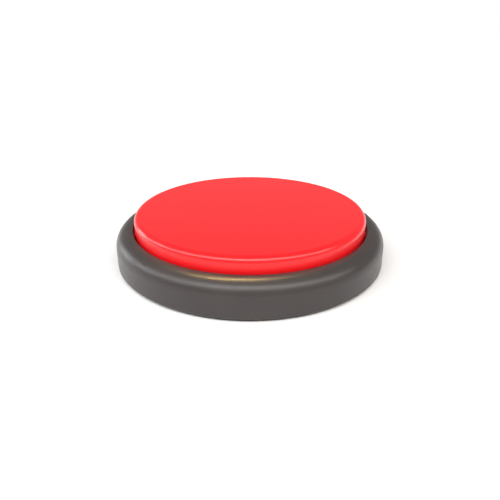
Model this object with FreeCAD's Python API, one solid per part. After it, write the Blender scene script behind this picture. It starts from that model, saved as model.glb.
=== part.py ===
"""Quiz buzzer: a flat round push button, about a hand wide, with a sounder and two AAA cells inside.

All sizes are in millimetres. The origin is the centre of the surface that the rubber feet stand
on, and +Z is up, along the line that the button is pressed. -Y is the front, where the sounder is.
The battery door is at the back of the underside and swings down about a hinge that runs along X.
"""

import FreeCAD, Part
import math
import os
from FreeCAD import Vector

# ---- Outside: base ring and button ----
base_diameter = 120.0
housing_height = 14.7
shoulder_radius = 6.5
housing_wall = 2.2
lower_edge_radius = 0.5
rim_width = 8.4
rim_lip_radius = 0.6
cap_gap = 0.6
cap_proud = 6.2
cap_edge_radius = 2.7
cap_wall = 2.2
cap_roof = 2.4
press_travel = 2.5

# ---- Bottom cover and feet ----
cover_recess = 0.3
cover_thickness = 2.2
rebate_lip = 1.0
cover_gap = 0.15
foot_proud = 1.2
foot_radius = 6.0
foot_pocket_depth = 0.6
foot_inset = 9.5
foot_gap = 0.1
foot_edge_radius = 0.4
cover_edge_radius = 0.4

# ---- Self-tapping screws ----
screw_shank_radius = 1.1
screw_core_radius = 0.85
screw_head_radius = 2.0
screw_head_height = 1.2
washer_head_radius = 3.3
screw_pitch = 0.9
screw_hole_radius = 1.25
housing_screw_reach = 8.0
board_screw_reach = 3.6
sounder_screw_reach = 2.4
screw_bore_spare = 0.6
sounder_bore_spare = 0.2
screw_head_edge_radius = 0.5
thread_start = 0.3
thread_run_out = 1.2
thread_crest_start = 0.35
thread_crest_end = 0.5
thread_foot_end = 0.85
screw_tip_length = 0.8
boss_radius = 2.7
boss_inset = 4.6
counterbore_depth = 1.3
counterbore_radius = 2.2
cross_slot_width = 0.7
cross_slot_length = 2.3
cross_slot_depth = 0.75

# ---- Button guides, return springs and stops ----
guide_inset = 8.4
guide_angle = 30.0
post_radius = 2.0
post_shoulder_radius = 2.5
post_shoulder_length = 2.5
guide_gap = 0.1
sleeve_radius = 4.0
sleeve_height = 7.1
sleeve_floor = 0.2
spring_seat_depth = 0.8
spring_mean_radius = 2.9
spring_wire_radius = 0.3
spring_turns = 5.5
end_gap = 0.05
lug_height = 2.2
lug_reach = 2.1
lug_half_angle = 12.0
lug_gap = 0.15
stop_half_angle = 5.0
stop_inset = 0.3
stop_width = 1.7
rib_thickness = 1.2
rib_depth = 1.2
rib_start_radius = 9.0
rib_count = 8
skirt_edge_radius = 0.3
ceiling_edge_radius = 0.3
moving_clearance = 0.4

# ---- Push switch on the board ----
switch_side = 8.5
switch_wall = 1.25
switch_floor = 0.6
switch_roof = 1.0
plunger_radius = 1.75
plunger_gap = 0.08
plunger_flange_radius = 2.7
plunger_flange_height = 0.7
plunger_spare_travel = 0.5
switch_spring_wire_radius = 0.2
switch_spring_mean_radius = 2.0
switch_spring_turns = 3.0
terminal_side = 0.6
terminal_reach = 2.4
terminal_pitch_x = 5.0
terminal_pitch_y = 6.0
terminal_hole_radius = 0.5
switch_corner_radius = 0.5
plunger_edge_radius = 0.3
actuator_radius = 4.0
actuator_length = 1.7

# ---- Circuit board ----
board_length = 52.0
board_width = 22.0
board_thickness = 1.6
board_corner_radius = 2.0
standoff_height = 3.3
standoff_radius = 2.5
standoff_x = 22.0
standoff_y = 7.5
chip_length = 9.0
chip_width = 5.5
chip_height = 1.6
chip_lift = 0.2
chip_x = -13.0
chip_corner_radius = 0.3
leg_count = 7
leg_pitch = 1.2
leg_width = 0.45
leg_reach = 1.1
leg_thickness = 0.2
leg_drop = 0.7
capacitor_radius = 2.5
capacitor_height = 5.5
capacitor_x = 13.0
capacitor_y = -4.5
capacitor_foot_radius = 0.2
capacitor_edge_radius = 0.3
resistor_length = 3.2
resistor_width = 1.6
resistor_height = 0.9
resistor_pitch = 2.6
resistor_x = 8.5
resistor_y = 5.2
resistor_count = 3
resistor_corner_radius = 0.2

# ---- AAA cells, battery bay and door ----
cell_radius = 5.25
cell_length = 44.5
nub_radius = 1.9
nub_length = 0.8
nub_edge_radius = 0.2
cell_edge_radius = 0.5
cell_spacing = 0.6
cell_gap = 0.2
cell_side_gap = 0.4
contact_space = 5.5
bay_centre_y = 26.5
bay_wall = 1.4
bay_roof = 1.0
bay_ledge = 1.0
bay_plinth = 3.0
bay_plinth_height = 1.5
door_thickness = 2.0
door_gap = 0.2
door_corner_radius = 0.6
knuckle_radius = 1.2
knuckle_length = 7.0
knuckle_x = 17.0
hinge_pin_radius = 0.7
hinge_pin_reach = 1.6
hinge_gap = 0.3
hinge_pin_gap = 0.08
hinge_swing_gap = 0.9
tongue_half_width = 5.0
tongue_slit = 0.8
tongue_slit_length = 7.0
catch_half_width = 4.0
catch_thickness = 1.5
catch_rise = 2.1
catch_nose = 0.5
catch_nose_height = 0.7
catch_root = 0.5
catch_gap = 0.4
thumb_half_width = 8.0
thumb_length = 4.0
thumb_depth = 1.2
thumb_corner_radius = 0.9
thumb_tab_length = 1.8
thumb_tab_thickness = 0.8
grip_rib_count = 5
grip_rib_pitch = 1.6
grip_rib_radius = 0.3
grip_rib_half_length = 6.0
grip_rib_inset = 9.0

# ---- Battery contacts ----
contact_thickness = 0.4
contact_width = 9.0
contact_height = 8.0
contact_dimple_radius = 2.0
contact_dimple_height = 0.8
contact_tab_width = 1.8
contact_tab_reach = 3.6
contact_tab_rise = 1.7
contact_slot_gap = 0.1
coil_wire_radius = 0.25
coil_large_radius = 3.4
coil_small_radius = 2.0
coil_turns = 3.0

# ---- Sounder and its grille ----
sounder_y = -27.0
sounder_radius = 14.0
sounder_gap = 0.2
sounder_ring_wall = 1.2
gasket_thickness = 0.5
gasket_width = 1.8
sounder_flange_thickness = 0.6
sounder_flange_width = 1.8
sounder_back_radius = 8.8
sounder_depth = 3.4
sounder_sheet = 0.6
basket_bend_radius = 0.4
basket_inner_bend_radius = 0.3
magnet_radius = 7.5
magnet_height = 2.5
magnet_foot_radius = 0.3
magnet_edge_radius = 0.4
cone_sheet = 0.2
surround_outer_radius = 10.8
surround_inner_radius = 8.6
surround_height = 0.5
cone_neck_radius = 4.4
cone_depth = 1.6
dust_dome_height = 1.0
sounder_boss_radius = 2.3
strip_length = 9.0
strip_width = 4.8
strip_thickness = 0.8
strip_inner_gap = 0.2
strip_corner_radius = 0.5
grille_hole_radius = 0.8
grille_pitch = 3.2
grille_rings = 3
grille_first_ring = 6

# ---- Wires ----
wire_radius = 0.45
wire_rise = 2.4
battery_wire_rise = 0.4
battery_wire_lift = 1.4
wire_bend_step = 1.8
wire_arc_share = 0.45
coil_steps = 12
sounder_wire_x = 2.5
sounder_wire_inset = 1.2
board_pad_inset = 2.5
battery_wire_inset = 1.0
battery_pad_inset = 1.3
battery_pad_y = 2.0
battery_pad_spacing = 3.0

# ---- How far a cut runs past the face that it opens ----
past = 1.0

# ---- Heights above the table, and radii, worked out from the sizes above ----
UP = Vector(0, 0, 1)
QUARTERS = (0, 90, 180, 270)
base_radius = base_diameter / 2
edge_z = foot_proud
land_z = edge_z + housing_height
land_under_z = land_z - housing_wall
inner_radius = base_radius - housing_wall
cover_low_z = edge_z + cover_recess
cover_top_z = cover_low_z + cover_thickness
cover_middle_z = cover_low_z + cover_thickness / 2
rebate_radius = base_radius - rebate_lip
cover_radius = rebate_radius - cover_gap
boss_circle_radius = base_radius - boss_inset
foot_circle_radius = base_radius - foot_inset
foot_top_z = cover_low_z + foot_pocket_depth

cap_radius = base_radius - rim_width
rim_opening_radius = cap_radius + cap_gap
cap_inner_radius = cap_radius - cap_wall
cap_top_z = land_z + cap_proud
cap_ceiling_z = cap_top_z - cap_roof
roof_middle_z = cap_ceiling_z + cap_roof / 2
lug_top_z = land_under_z - lug_gap
skirt_low_z = lug_top_z - lug_height
stop_top_z = skirt_low_z - press_travel - end_gap
guide_circle_radius = cap_inner_radius - guide_inset

bay_inner_half_length = (cell_length + contact_space) / 2
cell_pitch = 2 * cell_radius + cell_spacing
bay_inner_half_width = cell_pitch / 2 + cell_radius + cell_side_gap
bay_front_y = bay_centre_y - bay_inner_half_width
bay_back_y = bay_centre_y + bay_inner_half_width
door_low_z = cover_low_z
door_top_z = door_low_z + door_thickness
cell_z = door_top_z + cell_gap + cell_radius
bay_ceiling_z = cell_z + cell_radius + cell_gap
bay_top_z = bay_ceiling_z + bay_roof
plinth_top_z = cover_top_z + bay_plinth_height
door_half_length = bay_inner_half_length + bay_ledge - door_gap
door_front_y = bay_front_y - bay_ledge + door_gap
door_back_y = bay_back_y + bay_ledge - door_gap
hinge_y = door_front_y - knuckle_radius - hinge_gap
hinge_z = door_low_z + knuckle_radius
bay_opening_half_length = bay_inner_half_length + bay_ledge
bay_opening_front_y = door_front_y - hinge_swing_gap
bay_opening_back_y = bay_back_y + bay_ledge
front_cell_y = bay_centre_y - cell_pitch / 2
rear_cell_y = bay_centre_y + cell_pitch / 2

board_low_z = cover_top_z + standoff_height
board_top_z = board_low_z + board_thickness
actuator_low_z = cap_ceiling_z - actuator_length
plunger_top_z = actuator_low_z - end_gap
switch_cavity_low_z = board_top_z + switch_floor
switch_top_z = plunger_top_z - press_travel - plunger_spare_travel
switch_cavity_top_z = switch_top_z - switch_roof
switch_cavity_radius = switch_side / 2 - switch_wall

sleeve_top_z = cover_top_z + sleeve_height
sleeve_floor_z = cover_top_z + sleeve_floor
spring_seat_z = sleeve_top_z - spring_seat_depth
post_low_z = sleeve_floor_z + press_travel + moving_clearance
rib_low_z = max(cap_ceiling_z - rib_depth, bay_top_z + press_travel + moving_clearance)

gasket_top_z = cover_top_z + gasket_thickness
sounder_flange_z = gasket_top_z + cone_sheet
sounder_flange_top_z = sounder_flange_z + sounder_flange_thickness
sounder_back_z = sounder_flange_z + sounder_depth
sounder_boss_x = sounder_radius + sounder_gap + sounder_boss_radius


# ---- Building blocks ----
def box(x0, x1, y0, y1, z0, z1):
    """A block between two corners."""
    return Part.makeBox(x1 - x0, y1 - y0, z1 - z0, Vector(x0, y0, z0))


def rod(radius, low, high):
    """A round bar from one point to another."""
    return Part.makeCylinder(radius, (high - low).Length, low, high - low)


def upright(radius, x, y, z0, z1):
    """A vertical round bar."""
    return rod(radius, Vector(x, y, z0), Vector(x, y, z1))


def rounded_wire(corners, place):
    """A closed wire through corners (u, v, radius), where place(u, v) gives each point in space."""
    ends = []
    for i, (u, v, radius) in enumerate(corners):
        here = place(u, v)
        if not radius:
            ends.append((here, None, here))
            continue
        back = (place(*corners[i - 1][:2]) - here).normalize()
        on = (place(*corners[(i + 1) % len(corners)][:2]) - here).normalize()
        half = back.getAngle(on) / 2
        middle = (back + on).normalize()
        centre = here + middle * (radius / math.sin(half))
        reach = radius / math.tan(half)
        ends.append((here + back * reach, centre - middle * radius, here + on * reach))
    edges = []
    for i, (start, mid, end) in enumerate(ends):
        if mid:
            edges.append(Part.Arc(start, mid, end).toShape())
        following = ends[(i + 1) % len(ends)][0]
        if (following - end).Length > 1e-6:
            edges.append(Part.LineSegment(end, following).toShape())
    return Part.Wire(edges)


def turned(corners):
    """A solid of revolution about Z from corners (radius, height, rounding)."""
    face = Part.Face(rounded_wire(corners, lambda r, z: Vector(r, 0, z)))
    return face.revolve(Vector(), UP, 360)


def plate(corners, z0, z1):
    """A flat plate with an outline of corners (x, y, rounding)."""
    face = Part.Face(rounded_wire(corners, lambda x, y: Vector(x, y, z0)))
    return face.extrude(Vector(0, 0, z1 - z0))


def rectangle(x0, x1, y0, y1, rounding):
    return [(x0, y0, rounding), (x1, y0, rounding), (x1, y1, rounding), (x0, y1, rounding)]


def ring_sector(inner, outer, z0, z1, angle, half_angle):
    """A piece of a ring about Z, centred on an angle."""
    start = Vector(0, 0, z0)
    whole = Part.makeCylinder(outer, z1 - z0, start, UP, 2 * half_angle)
    hollow = Part.makeCylinder(inner, z1 - z0, start, UP)
    piece = whole.cut(hollow)
    piece.rotate(Vector(), UP, angle - half_angle)
    return piece


def on_circle(radius, angle):
    """x and y on a circle about Z."""
    turn = math.radians(angle)
    return radius * math.cos(turn), radius * math.sin(turn)


def coil(radius, end_radius, wire, z0, z1, turns):
    """A coil spring about Z whose wire lies between two heights; unequal radii make it a cone."""
    steps = int(turns * coil_steps)
    corner = 1 / math.cos(math.pi / coil_steps)
    points = []
    for i in range(steps + 1):
        share = i / steps
        x, y = on_circle(corner * (radius + (end_radius - radius) * share), 360 * i / coil_steps)
        points.append(Vector(x, y, z0 + wire + (z1 - z0 - 2 * wire) * share))
    return bent_wire(points, wire)


def screw(head_radius, reach):
    """A cross-head self-tapping screw: head below z = 0, thread up along +Z."""
    crest, core, top = screw_shank_radius, screw_core_radius, -screw_head_height
    corners = [(0, top, 0), (head_radius, top, screw_head_edge_radius), (head_radius, 0, 0), (core, 0, 0)]
    turns = int((reach - thread_run_out) / screw_pitch)
    for i in range(turns):
        foot_z = thread_start + i * screw_pitch
        corners += [(core, foot_z, 0), (crest, foot_z + screw_pitch * thread_crest_start, 0)]
        corners += [(crest, foot_z + screw_pitch * thread_crest_end, 0)]
        corners += [(core, foot_z + screw_pitch * thread_foot_end, 0)]
    corners += [(core, reach - screw_tip_length, 0), (0, reach, 0)]
    body = turned(corners)
    half_long, half_wide, floor = cross_slot_length / 2, cross_slot_width / 2, top + cross_slot_depth
    body = body.cut(box(-half_long, half_long, -half_wide, half_wide, top - past, floor))
    return body.cut(box(-half_wide, half_wide, -half_long, half_long, top - past, floor))


def set_screw(head_radius, reach, x, y, z, driven_down):
    """A screw with its head bearing on height z, driven down into the part or up into it."""
    body = screw(head_radius, reach)
    if driven_down:
        body.rotate(Vector(), Vector(1, 0, 0), 180)
    body.translate(Vector(x, y, z))
    return body


def bent_wire(points, thickness):
    """A round wire along straight runs joined by arcs as large as the runs allow."""
    ends = []
    for before, here, after in zip(points, points[1:], points[2:]):
        back, on = before - here, after - here
        half = back.getAngle(on) / 2
        reach = wire_arc_share * min(back.Length, on.Length)
        back.normalize()
        on.normalize()
        middle = (back + on).normalize()
        radius = reach * math.tan(half)
        centre = here + middle * (reach / math.cos(half))
        ends.append((here + back * reach, centre - middle * radius, here + on * reach))
    edges = []
    last = points[0]
    for start, mid, end in ends:
        edges.append(Part.LineSegment(last, start).toShape())
        edges.append(Part.Arc(start, mid, end).toShape())
        last = end
    edges.append(Part.LineSegment(last, points[-1]).toShape())
    section = Part.Wire(Part.makeCircle(thickness, points[0], points[1] - points[0]))
    return Part.Wire(edges).makePipe(Part.Face(section))


def arch(start, end, by_way_of, rise):
    """Points for a wire that stands up from both ends and crosses over at one height."""
    high_z = max(start.z, end.z) + rise + wire_bend_step
    top = [Vector(p.x, p.y, high_z) for p in (start, *by_way_of, end)]
    leaving = (top[1] - top[0]).normalize() * wire_bend_step
    arriving = (top[-2] - top[-1]).normalize() * wire_bend_step
    drop = Vector(0, 0, wire_bend_step)
    return [start, top[0] - drop, top[0] + leaving, *top[1:-1], top[-1] + arriving, top[-1] - drop, end]


def boss_places():
    return [on_circle(boss_circle_radius, 45 + angle) for angle in QUARTERS]


def foot_places():
    return [on_circle(foot_circle_radius, angle) for angle in QUARTERS]


def guide_places():
    x, y = on_circle(guide_circle_radius, guide_angle)
    return {"rear_right": (x, y), "rear_left": (-x, y), "front_left": (-x, -y), "front_right": (x, -y)}


def standoff_places():
    return [(x, y) for x in (-standoff_x, standoff_x) for y in (-standoff_y, standoff_y)]


def sounder_screw_places():
    return [(-sounder_boss_x, sounder_y), (sounder_boss_x, sounder_y)]


def terminal_places():
    return [(x, y) for x in (-terminal_pitch_x / 2, terminal_pitch_x / 2)
            for y in (-terminal_pitch_y / 2, terminal_pitch_y / 2)]


# ---- Base ring ----
def upper_housing():
    """Outer ring with a big rounded shoulder, open in the middle for the button."""
    outer = turned([
        (rim_opening_radius, edge_z, 0),
        (base_radius, edge_z, lower_edge_radius),
        (base_radius, land_z, shoulder_radius),
        (rim_opening_radius, land_z, rim_lip_radius),
    ])
    hollow = turned([
        (0, edge_z - past, 0),
        (inner_radius, edge_z - past, 0),
        (inner_radius, land_under_z, shoulder_radius - housing_wall),
        (0, land_under_z, 0),
    ])
    ring = outer.cut(hollow)
    for x, y in boss_places():
        boss = upright(boss_radius, x, y, cover_top_z, land_z).common(outer)
        ring = ring.fuse(boss)
    ring = ring.cut(upright(rebate_radius, 0, 0, edge_z - past, cover_top_z))
    bore_top_z = cover_low_z + counterbore_depth + housing_screw_reach + screw_bore_spare
    for x, y in boss_places():
        ring = ring.cut(upright(screw_core_radius, x, y, cover_top_z - past, bore_top_z))
    return ring.removeSplitter()


# ---- Bottom cover ----
def grille_places():
    """Hole centres in rings round the sounder's axis."""
    places = [(0, sounder_y)]
    for ring in range(1, grille_rings + 1):
        count = grille_first_ring * ring
        for i in range(count):
            x, y = on_circle(grille_pitch * ring, 360 * i / count)
            places.append((x, y + sounder_y))
    return places


def battery_bay(cover):
    """Adds the bay's walls and roof, and cuts the door's opening, to the cover."""
    half_length, front, back = bay_inner_half_length, bay_front_y, bay_back_y
    plinth_front_y = hinge_y - knuckle_radius - hinge_gap - bay_wall
    cover = cover.fuse(box(-half_length - bay_plinth, half_length + bay_plinth, plinth_front_y,
                           back + bay_plinth, cover_low_z, plinth_top_z))
    cover = cover.fuse(plate(rectangle(-half_length - bay_wall, half_length + bay_wall, front - bay_wall,
                                       back + bay_wall, bay_wall), cover_low_z, bay_top_z))
    cover = cover.cut(box(-half_length, half_length, front, back, cover_low_z - past, bay_ceiling_z))
    return cover.cut(box(-bay_opening_half_length, bay_opening_half_length, bay_opening_front_y,
                         bay_opening_back_y, cover_low_z - past, cover_top_z))


def contact_slots():
    """Slots in the bay's right end wall for the tabs of the two terminals."""
    slots = []
    for y in (front_cell_y, rear_cell_y):
        half = contact_tab_width / 2 + contact_slot_gap
        low = cell_z + contact_tab_rise - contact_slot_gap
        high = low + contact_thickness + 2 * contact_slot_gap
        slots.append(box(bay_inner_half_length - past, bay_inner_half_length + bay_wall + past,
                         y - half, y + half, low, high))
    return slots


def hinge_cuts():
    """Room in the cover for the door's knuckles, and the bores for their pins."""
    cuts = []
    for x in (-knuckle_x, knuckle_x):
        half = knuckle_length / 2 + hinge_gap
        room = knuckle_radius + hinge_gap
        cuts.append(box(x - half, x + half, hinge_y - room, bay_opening_front_y + past,
                        cover_low_z - past, hinge_z + room))
        reach = knuckle_length / 2 + hinge_pin_reach + hinge_gap
        cuts.append(rod(hinge_pin_radius + hinge_pin_gap, Vector(x - reach, hinge_y, hinge_z),
                        Vector(x + reach, hinge_y, hinge_z)))
    return cuts


def latch_cuts():
    """The thumb scoop behind the door, and the notch that the door's catch stands in."""
    outline = rectangle(-thumb_half_width, thumb_half_width, bay_opening_back_y - past,
                        bay_opening_back_y + thumb_length, thumb_corner_radius)
    scoop = plate(outline, cover_low_z - past, cover_low_z + thumb_depth)
    half = catch_half_width + catch_gap
    notch = box(-half, half, bay_back_y - catch_thickness, door_back_y + catch_nose + catch_gap,
                cover_low_z - past, door_top_z + catch_rise + catch_gap)
    return [scoop, notch]


def bottom_cover():
    """Round plate that closes the base and carries everything inside."""
    cover = turned([
        (0, cover_low_z, 0),
        (cover_radius, cover_low_z, cover_edge_radius),
        (cover_radius, cover_top_z, 0),
        (0, cover_top_z, 0),
    ])
    cover = battery_bay(cover)
    for x, y in guide_places().values():
        cover = cover.fuse(upright(sleeve_radius, x, y, cover_low_z, sleeve_top_z))
    for x, y in standoff_places():
        cover = cover.fuse(upright(standoff_radius, x, y, cover_low_z, board_low_z))
    ring_inner = sounder_radius + sounder_gap
    holder = upright(ring_inner + sounder_ring_wall, 0, sounder_y, cover_low_z, sounder_flange_top_z)
    for x, y in sounder_screw_places():
        holder = holder.fuse(upright(sounder_boss_radius, x, y, cover_low_z, sounder_flange_top_z))
    cover = cover.fuse(holder.cut(upright(ring_inner, 0, sounder_y, cover_top_z,
                                          sounder_flange_top_z + past)))
    stop_outer = cap_radius - stop_inset
    for angle in QUARTERS:
        cover = cover.fuse(ring_sector(stop_outer - stop_width, stop_outer, cover_middle_z, stop_top_z,
                                       angle, stop_half_angle))
    cuts = contact_slots() + hinge_cuts() + latch_cuts()
    seat_radius = spring_mean_radius + 2 * spring_wire_radius
    for x, y in guide_places().values():
        cuts.append(upright(post_radius + guide_gap, x, y, sleeve_floor_z, sleeve_top_z + past))
        cuts.append(upright(seat_radius, x, y, spring_seat_z, sleeve_top_z + past))
    for x, y in standoff_places():
        bore_low_z = board_top_z - board_screw_reach - screw_bore_spare
        cuts.append(upright(screw_core_radius, x, y, bore_low_z, board_low_z + past))
    for x, y in sounder_screw_places():
        bore_low_z = sounder_flange_top_z - sounder_screw_reach - sounder_bore_spare
        cuts.append(upright(screw_core_radius, x, y, bore_low_z, sounder_flange_top_z + past))
    for x, y in boss_places():
        cuts.append(upright(counterbore_radius, x, y, cover_low_z - past, cover_low_z + counterbore_depth))
        cuts.append(upright(screw_hole_radius, x, y, cover_low_z - past, cover_top_z + past))
    for x, y in foot_places():
        cuts.append(upright(foot_radius + foot_gap, x, y, cover_low_z - past, foot_top_z))
    for x, y in grille_places():
        cuts.append(upright(grille_hole_radius, x, y, cover_low_z - past, cover_top_z + past))
    return cover.cut(cuts).removeSplitter()


def foot(x, y):
    """Rubber foot stuck in its pocket."""
    body = turned([
        (0, 0, 0),
        (foot_radius, 0, foot_edge_radius),
        (foot_radius, foot_top_z, 0),
        (0, foot_top_z, 0),
    ])
    body.translate(Vector(x, y, 0))
    return body


# ---- Battery door ----
def battery_door():
    """Hinged panel with two pinned knuckles and a springy catch."""
    door = plate(rectangle(-door_half_length, door_half_length, door_front_y, door_back_y,
                           door_corner_radius), door_low_z, door_top_z)
    for x in (-knuckle_x, knuckle_x):
        low, high = x - knuckle_length / 2, x + knuckle_length / 2
        door = door.fuse(rod(knuckle_radius, Vector(low, hinge_y, hinge_z),
                             Vector(high, hinge_y, hinge_z)))
        door = door.fuse(box(low, high, hinge_y, door_front_y + past, door_low_z, door_top_z))
        door = door.fuse(rod(hinge_pin_radius, Vector(low - hinge_pin_reach, hinge_y, hinge_z),
                             Vector(high + hinge_pin_reach, hinge_y, hinge_z)))
    for side in (-1, 1):
        edges = sorted((side * tongue_half_width, side * (tongue_half_width + tongue_slit)))
        door = door.cut(box(edges[0], edges[1], door_back_y - tongue_slit_length, door_back_y + past,
                            door_low_z - past, door_top_z + past))
    root_z = door_top_z - catch_root
    nose_low_z = door_top_z + catch_nose_height
    catch_top_z = door_top_z + catch_rise
    catch = [(door_back_y - catch_thickness, root_z), (door_back_y, root_z),
             (door_back_y, nose_low_z), (door_back_y + catch_nose, nose_low_z + catch_nose),
             (door_back_y, catch_top_z), (door_back_y - catch_thickness, catch_top_z)]
    outline = [Vector(-catch_half_width, y, z) for y, z in catch]
    side = Part.makePolygon(outline + outline[:1])
    door = door.fuse(Part.Face(side).extrude(Vector(2 * catch_half_width, 0, 0)))
    door = door.fuse(box(-catch_half_width, catch_half_width, door_back_y - past,
                         door_back_y + thumb_tab_length, door_low_z, door_low_z + thumb_tab_thickness))
    for i in range(grip_rib_count):
        y = door_back_y - grip_rib_inset - i * grip_rib_pitch
        groove = rod(grip_rib_radius, Vector(-grip_rib_half_length, y, door_low_z),
                     Vector(grip_rib_half_length, y, door_low_z))
        door = door.cut(groove)
    return door.removeSplitter()


# ---- Button ----
def button_cap():
    """Red shell with retaining lugs, stiffening ribs, guide posts and a centre pad that pushes the switch."""
    cap = turned([
        (0, skirt_low_z, 0),
        (cap_radius, skirt_low_z, skirt_edge_radius),
        (cap_radius, cap_top_z, cap_edge_radius),
        (0, cap_top_z, 0),
    ])
    inside = turned([
        (0, skirt_low_z - past, 0),
        (cap_inner_radius, skirt_low_z - past, 0),
        (cap_inner_radius, cap_ceiling_z, max(cap_edge_radius - cap_wall, ceiling_edge_radius)),
        (0, cap_ceiling_z, 0),
    ])
    cap = cap.cut(inside)
    for i in range(rib_count):
        rib = box(rib_start_radius, cap_inner_radius + cap_wall / 2, -rib_thickness / 2, rib_thickness / 2,
                  rib_low_z, roof_middle_z)
        rib.rotate(Vector(), UP, 360 * i / rib_count)
        cap = cap.fuse(rib)
    hoop = upright(rib_start_radius + rib_thickness, 0, 0, rib_low_z, roof_middle_z)
    cap = cap.fuse(hoop.cut(upright(rib_start_radius, 0, 0, rib_low_z - past, cap_ceiling_z)))
    for angle in QUARTERS:
        cap = cap.fuse(ring_sector(cap_radius - cap_wall / 2, cap_radius + lug_reach, skirt_low_z, lug_top_z,
                                   angle, lug_half_angle))
    for x, y in guide_places().values():
        cap = cap.fuse(upright(post_radius, x, y, post_low_z, roof_middle_z))
        cap = cap.fuse(upright(post_shoulder_radius, x, y, cap_ceiling_z - post_shoulder_length,
                               roof_middle_z))
    cap = cap.fuse(upright(actuator_radius, 0, 0, actuator_low_z, roof_middle_z))
    return cap.removeSplitter()


def return_spring(x, y):
    """Compression spring round a guide post."""
    spring = coil(spring_mean_radius, spring_mean_radius, spring_wire_radius, spring_seat_z + end_gap,
                  cap_ceiling_z - end_gap, spring_turns)
    spring.translate(Vector(x, y, 0))
    return spring


# ---- Push switch ----
def switch_body():
    """Square case with a round well for the plunger and its spring."""
    half = switch_side / 2
    case = plate(rectangle(-half, half, -half, half, switch_corner_radius), board_top_z, switch_top_z)
    case = case.cut(upright(switch_cavity_radius, 0, 0, switch_cavity_low_z, switch_cavity_top_z))
    return case.cut(upright(plunger_radius + plunger_gap, 0, 0, switch_cavity_top_z - past,
                            switch_top_z + past))


def switch_plunger():
    flange_top_z = switch_cavity_top_z - end_gap
    return turned([
        (0, flange_top_z - plunger_flange_height, 0),
        (plunger_flange_radius, flange_top_z - plunger_flange_height, 0),
        (plunger_flange_radius, flange_top_z, 0),
        (plunger_radius, flange_top_z, 0),
        (plunger_radius, plunger_top_z, plunger_edge_radius),
        (0, plunger_top_z, 0),
    ])


def switch_spring():
    top_z = switch_cavity_top_z - end_gap - plunger_flange_height
    return coil(switch_spring_mean_radius, switch_spring_mean_radius, switch_spring_wire_radius,
                switch_cavity_low_z + end_gap, top_z - end_gap, switch_spring_turns)


def switch_terminals():
    half = terminal_side / 2
    return [box(x - half, x + half, y - half, y + half, board_top_z - terminal_reach, board_top_z)
            for x, y in terminal_places()]


# ---- Circuit board and what is soldered on it ----
def circuit_board():
    half_long, half_wide = board_length / 2, board_width / 2
    board = plate(rectangle(-half_long, half_long, -half_wide, half_wide, board_corner_radius),
                  board_low_z, board_top_z)
    low_z, high_z = board_low_z - past, board_top_z + past
    holes = [upright(screw_hole_radius, x, y, low_z, high_z) for x, y in standoff_places()]
    holes += [upright(terminal_hole_radius, x, y, low_z, high_z) for x, y in terminal_places()]
    return board.cut(holes)


def chip_legs_side(side):
    """Gull-wing legs along one long side of the sound chip."""
    legs = []
    edge = chip_width / 2
    bend_z = board_top_z + leg_drop
    for i in range(leg_count):
        x = chip_x + (i - (leg_count - 1) / 2) * leg_pitch
        near, far = sorted((side * edge, side * (edge + leg_reach)))
        foot_near, foot_far = sorted((side * (edge + leg_reach / 2), side * (edge + leg_reach)))
        shank = box(x - leg_width / 2, x + leg_width / 2, near, far, bend_z, bend_z + leg_thickness)
        drop = box(x - leg_width / 2, x + leg_width / 2, foot_near, foot_far, board_top_z,
                   bend_z + leg_thickness / 2)
        legs.append(shank.fuse(drop).removeSplitter())
    return legs


def sound_chip():
    low_z = board_top_z + chip_lift
    outline = rectangle(chip_x - chip_length / 2, chip_x + chip_length / 2, -chip_width / 2, chip_width / 2,
                        chip_corner_radius)
    return plate(outline, low_z, low_z + chip_height)


def capacitor():
    can = turned([
        (0, board_top_z, 0),
        (capacitor_radius, board_top_z, capacitor_foot_radius),
        (capacitor_radius, board_top_z + capacitor_height, capacitor_edge_radius),
        (0, board_top_z + capacitor_height, 0),
    ])
    can.translate(Vector(capacitor_x, capacitor_y, 0))
    return can


def resistors():
    """Row of surface-mounted resistors beside the switch."""
    row = []
    for i in range(resistor_count):
        x = resistor_x + i * resistor_pitch
        outline = rectangle(x - resistor_width / 2, x + resistor_width / 2, resistor_y - resistor_length / 2,
                            resistor_y + resistor_length / 2, resistor_corner_radius)
        row.append(plate(outline, board_top_z, board_top_z + resistor_height))
    return row


# ---- Cells and contacts ----
def cell(y):
    """AAA cell along X with its raised end against the right contact."""
    body_length = cell_length - nub_length
    body = turned([
        (0, 0, 0),
        (cell_radius, 0, cell_edge_radius),
        (cell_radius, body_length, cell_edge_radius),
        (nub_radius, body_length, 0),
        (nub_radius, cell_length, nub_edge_radius),
        (0, cell_length, 0),
    ])
    body.rotate(Vector(), Vector(0, 1, 0), 90)
    flat_end_x = bay_inner_half_length - contact_thickness - contact_dimple_height - cell_length
    body.translate(Vector(flat_end_x, y, cell_z))
    return body


def contact_plate(y0, y1):
    """Plate against the bay's right end wall."""
    low = cell_z - contact_height / 2
    return box(bay_inner_half_length - contact_thickness, bay_inner_half_length, y0, y1, low,
               low + contact_height)


def contact_tab(y):
    half = contact_tab_width / 2
    low = cell_z + contact_tab_rise
    return box(bay_inner_half_length - contact_thickness, bay_inner_half_length + contact_tab_reach,
               y - half, y + half, low, low + contact_thickness)


def contact_dimple(y):
    plate_face = Vector(bay_inner_half_length - contact_thickness, y, cell_z)
    return rod(contact_dimple_radius, plate_face - Vector(contact_dimple_height, 0, 0), plate_face)


def contact_coil(y):
    """Cone-shaped spring that presses on a cell's flat end."""
    free = contact_space - 2 * contact_thickness - contact_dimple_height
    body = coil(coil_large_radius, coil_small_radius, coil_wire_radius, end_gap, free - end_gap, coil_turns)
    body.rotate(Vector(), Vector(0, 1, 0), -90)
    body.translate(Vector(bay_inner_half_length - contact_thickness, y, cell_z))
    return body


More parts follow.
